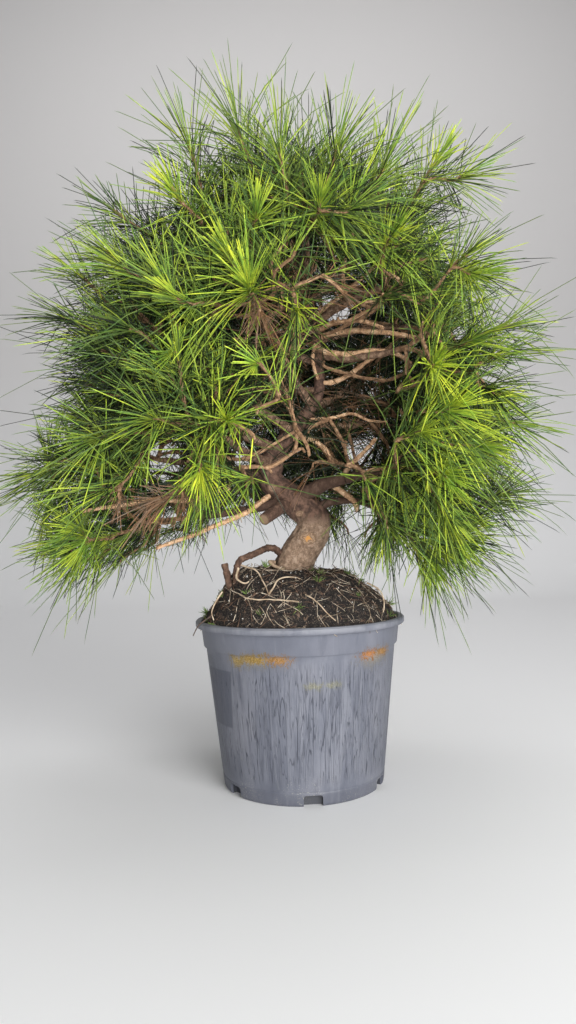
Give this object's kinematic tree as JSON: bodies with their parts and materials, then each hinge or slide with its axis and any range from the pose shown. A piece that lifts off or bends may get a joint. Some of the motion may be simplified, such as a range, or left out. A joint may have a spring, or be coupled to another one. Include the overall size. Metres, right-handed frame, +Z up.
{
  "type": "potted aleppo pine pre-bonsai",
  "caption": "Young aleppo pine pre-bonsai with a curved trunk and a broad needle crown, growing in a round grey nursery pot.",
  "frame": {"origin": "middle of the pot's flat underside, on the surface that the pot stands on", "axes": "+Z up along the pot's axis, -Y towards the front that the picture shows, +X to its right"},
  "size_m": [0.6437, 0.5526, 0.7888],
  "materials": {
    "pot_plastic": "weathered grey moulded plastic",
    "soil": "dark peat with straw and rootlets",
    "bark": "fissured grey-brown bark",
    "needles": "fresh green pine needles"
  },
  "bodies": {
    "root": {"bough_back_left": "bark", "bough_back_low_left": "bark", "bough_back_low_right": "bark", "bough_back_middle": "bark", "bough_back_right": "bark", "bough_back_upper": "bark", "bough_back_upper_left": "bark", "bough_front_left": "bark", "bough_front_low_left": "bark", "bough_front_low_right": "bark", "bough_front_right": "bark", "bough_front_right_low": "bark", "bough_front_star": "bark", "bough_front_top": "bark", "bough_front_top_right": "bark", "bough_front_upper_left": "bark", "bough_left_hanging": "bark", "bough_left_low": "bark", "bough_left_middle": "bark", "bough_left_upper": "bark", "bough_right_hanging": "bark", "bough_right_low": "bark", "bough_right_middle": "bark", "bough_right_upper": "bark", "bough_top_left": "bark", "cut_stub": "bark", "dead_limb_low": "bark", "dead_limb_middle": "bark", "foliage_back_left": "needles", "foliage_back_low_left": "needles", "foliage_back_low_right": "needles", "foliage_back_middle": "needles", "foliage_back_right": "needles", "foliage_back_upper": "needles", "foliage_back_upper_left": "needles", "foliage_front_left": "needles", "foliage_front_low_left": "needles", "foliage_front_low_right": "needles", "foliage_front_right": "needles", "foliage_front_right_low": "needles", "foliage_front_star": "needles", "foliage_front_top": "needles", "foliage_front_top_right": "needles", "foliage_front_upper_left": "needles", "foliage_left_hanging": "needles", "foliage_left_low": "needles", "foliage_left_middle": "needles", "foliage_left_upper": "needles", "foliage_right_hanging": "needles", "foliage_right_low": "needles", "foliage_right_middle": "needles", "foliage_right_upper": "needles", "foliage_top": "needles", "foliage_top_left": "needles", "pot": "pot_plastic", "root_arch": "bark", "root_drop": "bark", "root_snag": "bark", "soil": "soil", "trunk": "bark"}
  },
  "joints": []
}
